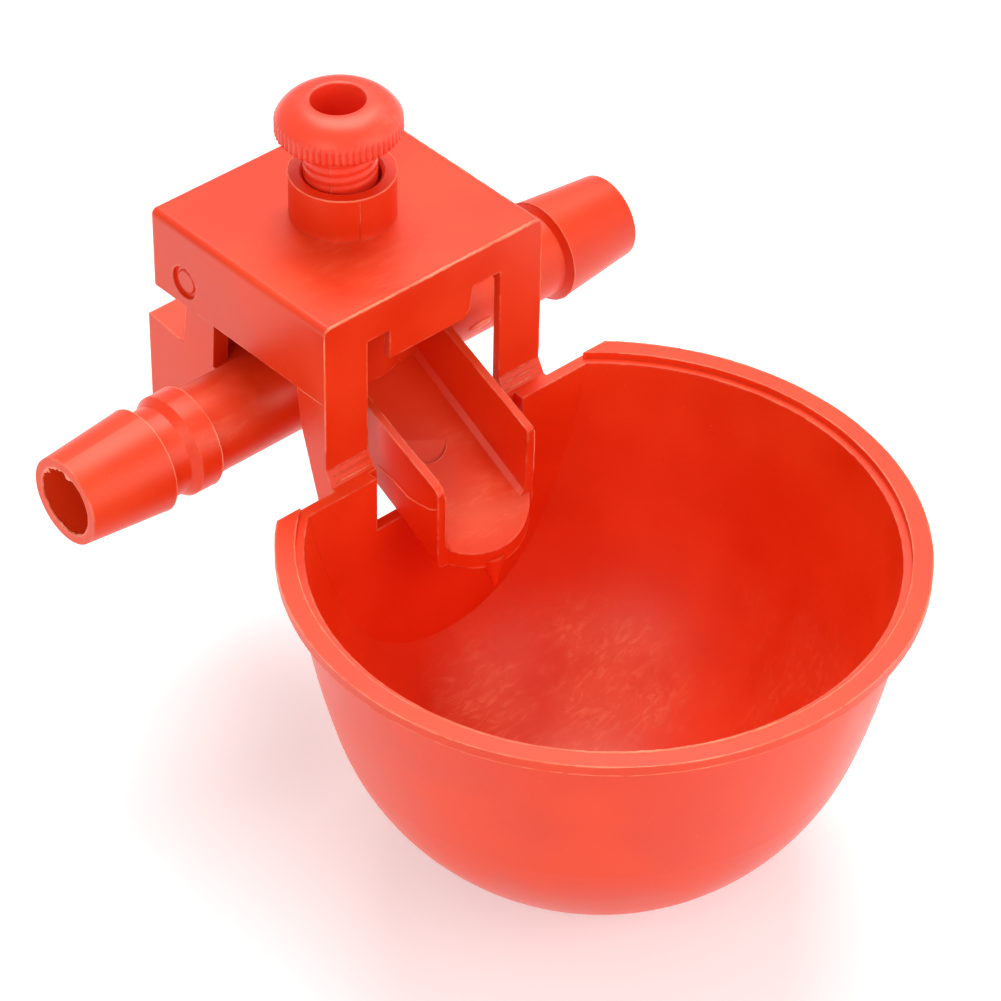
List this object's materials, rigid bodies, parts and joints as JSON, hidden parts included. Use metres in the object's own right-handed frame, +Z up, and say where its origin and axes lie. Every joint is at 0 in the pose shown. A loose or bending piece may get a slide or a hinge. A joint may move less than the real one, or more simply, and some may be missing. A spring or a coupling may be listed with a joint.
{
  "type": "self-closing hanging cup drinker for poultry",
  "caption": "Moulded cup drinker for poultry: a sprung, tilting D-shaped bowl hung under a valve cap on a barbed water pipe with a sloping chute.",
  "frame": {"origin": "middle of the water pipe, on its axis", "axes": "+X along the water pipe, the bowl towards -Y, the hanger and the cage towards +Y, +Z up"},
  "size_m": [0.0906, 0.1096, 0.0889],
  "materials": {
    "red_plastic": "moulded polypropylene, slightly scuffed",
    "screw_plastic": "moulded polypropylene",
    "seal_rubber": "matt",
    "spring_steel": "drawn wire"
  },
  "bodies": {
    "valve": {"valve_body": "red_plastic", "return_spring": "spring_steel"},
    "cup": {"drinking_cup": "red_plastic", "pivot_pin": "red_plastic"},
    "plug": {"valve_plug": "seal_rubber"},
    "screw": {"adjusting_screw": "screw_plastic"}
  },
  "joints": [
    {"name": "cup_tilt", "type": "hinge", "parent": "valve", "child": "cup", "pos_m": [0, 0.0103, 0.014], "axis": [1, 0, 0], "range_deg": [0, 4.5], "stiffness_Nm_per_rad": 0.08, "springref_deg": -15.76, "deforming": ["return_spring"]},
    {"name": "screw_travel", "type": "slide", "parent": "cup", "child": "plug", "axis": [0, 0, 1], "range_m": [0, 0.004]},
    {"name": "screw_turn", "type": "hinge", "parent": "plug", "child": "screw", "pos_m": [0, 0.0005, 0.02], "axis": [0, 0, 1], "range_deg": [-1, 1153]}
  ],
  "couplings": [
    {"joint": "screw_turn", "follows": "screw_travel", "rad_per_m": 5026.5}
  ]
}
